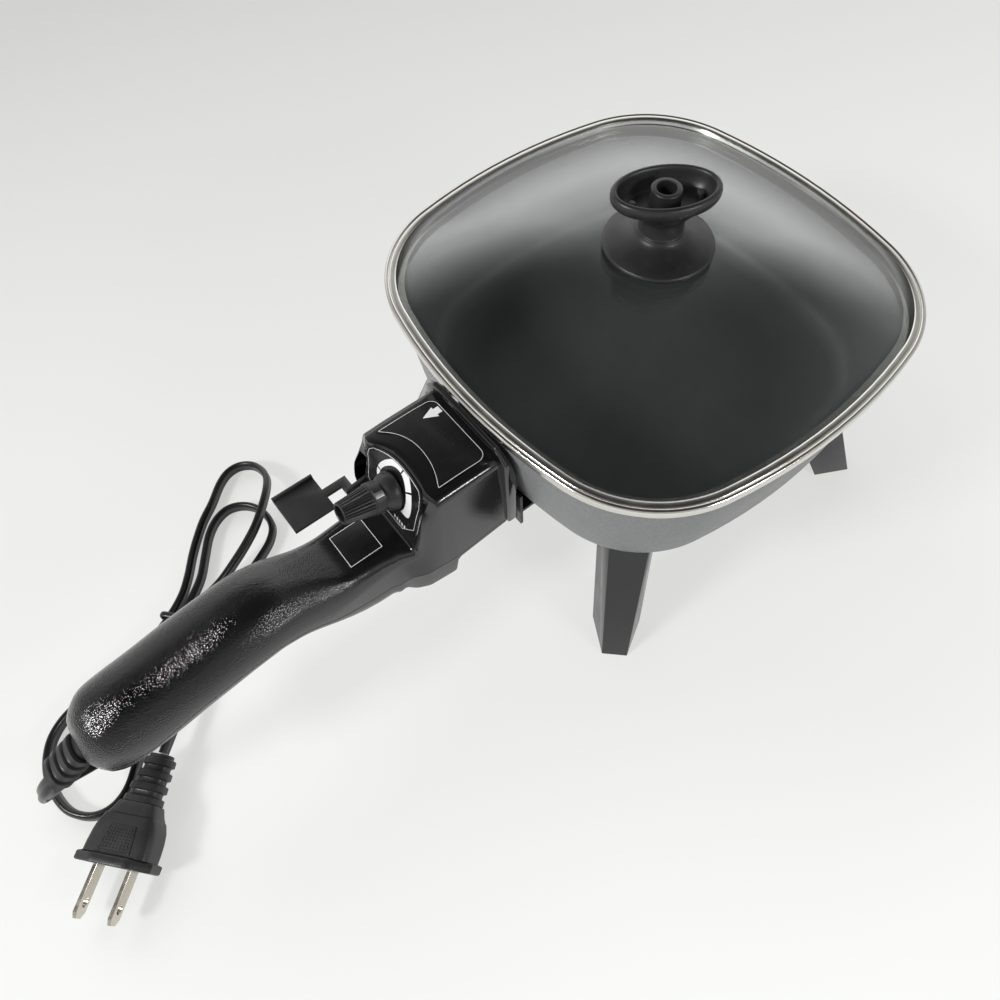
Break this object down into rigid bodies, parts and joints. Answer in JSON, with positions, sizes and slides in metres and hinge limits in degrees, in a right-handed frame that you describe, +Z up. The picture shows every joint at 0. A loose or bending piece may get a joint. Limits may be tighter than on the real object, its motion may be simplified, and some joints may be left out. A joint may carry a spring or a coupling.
{
  "type": "electric skillet",
  "caption": "Small square electric skillet on splayed legs with a lift-off domed glass lid, a pull-off thermostat handle, a lock lever and a short plugged cord.",
  "frame": {"origin": "on the floor under the middle of the box that holds the pan and the handle", "axes": "+X from the handle to the pan, +Y towards the lock lever, +Z up"},
  "size_m": [0.3723, 0.1947, 0.1512],
  "materials": {
    "pan_coat": "satin grey coat outside, black non-stick inside",
    "phenolic": "moulded gloss black",
    "label": "printed black",
    "screw_steel": "zinc plated",
    "heater_sheath": "heat-dulled",
    "pin_steel": "nickel plated",
    "ceramic": "unglazed ceramic",
    "black_steel": "satin black",
    "glass": "clear tempered",
    "band_steel": "bright rolled",
    "gasket": "matt",
    "contact_brass": "bright",
    "cord_rubber": "satin black",
    "lead_white": "satin",
    "pointer_white": "satin",
    "clamp_fibre": "pressed fibre"
  },
  "bodies": {
    "pan": {"pan": "pan_coat", "leg_front": "phenolic", "leg_right": "phenolic", "leg_rear": "phenolic", "leg_left": "phenolic", "leg_screw_front": "screw_steel", "leg_screw_right": "screw_steel", "leg_screw_rear": "screw_steel", "leg_screw_left": "screw_steel", "heating_element": "heater_sheath", "terminal_pin_a": "pin_steel", "terminal_pin_b": "pin_steel", "insulator_a": "ceramic", "insulator_b": "ceramic", "latch_bracket": "black_steel", "bracket_screw_a": "screw_steel", "bracket_screw_b": "screw_steel"},
    "lid": {"lid_glass": "glass", "lid_band": "band_steel", "knob_gasket": "gasket", "lid_knob": "phenolic", "knob_washer": "screw_steel", "knob_screw": "screw_steel", "knob_nut": "screw_steel"},
    "handle": {"handle_top_shell": "phenolic", "handle_bottom_shell": "phenolic", "front_collar": "phenolic", "head_label": "label", "dial_plate": "label", "neck_label": "label", "shell_screw_a": "screw_steel", "shell_screw_b": "screw_steel", "shell_screw_c": "screw_steel", "thermostat_frame": "ceramic", "fixed_contact": "contact_brass", "moving_contact": "contact_brass", "sensor_probe": "heater_sheath", "socket_a": "pin_steel", "socket_b": "pin_steel", "lead_a": "cord_rubber", "lead_b": "lead_white", "cord_clamp": "clamp_fibre", "cord_tail": "cord_rubber", "lever_pin": "screw_steel", "strain_relief": "cord_rubber", "power_cord": "cord_rubber", "cord_tie": "cord_rubber", "plug_body": "cord_rubber", "plug_blade_a": "pin_steel", "plug_blade_b": "pin_steel"},
    "lever": {"lock_lever": "black_steel"},
    "dial": {"temperature_knob": "phenolic", "knob_pointer": "pointer_white", "dial_shaft": "screw_steel"}
  },
  "joints": [
    {"name": "lid_lift", "type": "slide", "parent": "pan", "child": "lid", "axis": [0, 0, 1], "range_m": [0, 0.12]},
    {"name": "handle_pull", "type": "slide", "parent": "pan", "child": "handle", "axis": [-1, 0, 0], "range_m": [0, 0.06]},
    {"name": "lever_lift", "type": "hinge", "parent": "handle", "child": "lever", "pos_m": [-0.01975, 0.0175, 0.075], "axis": [0, 1, 0], "range_deg": [0, 20]},
    {"name": "dial_turn", "type": "hinge", "parent": "handle", "child": "dial", "pos_m": [-0.04156, 0, 0.0849], "axis": [-0.9667, 0, 0.2559], "range_deg": [-130, 115]}
  ]
}
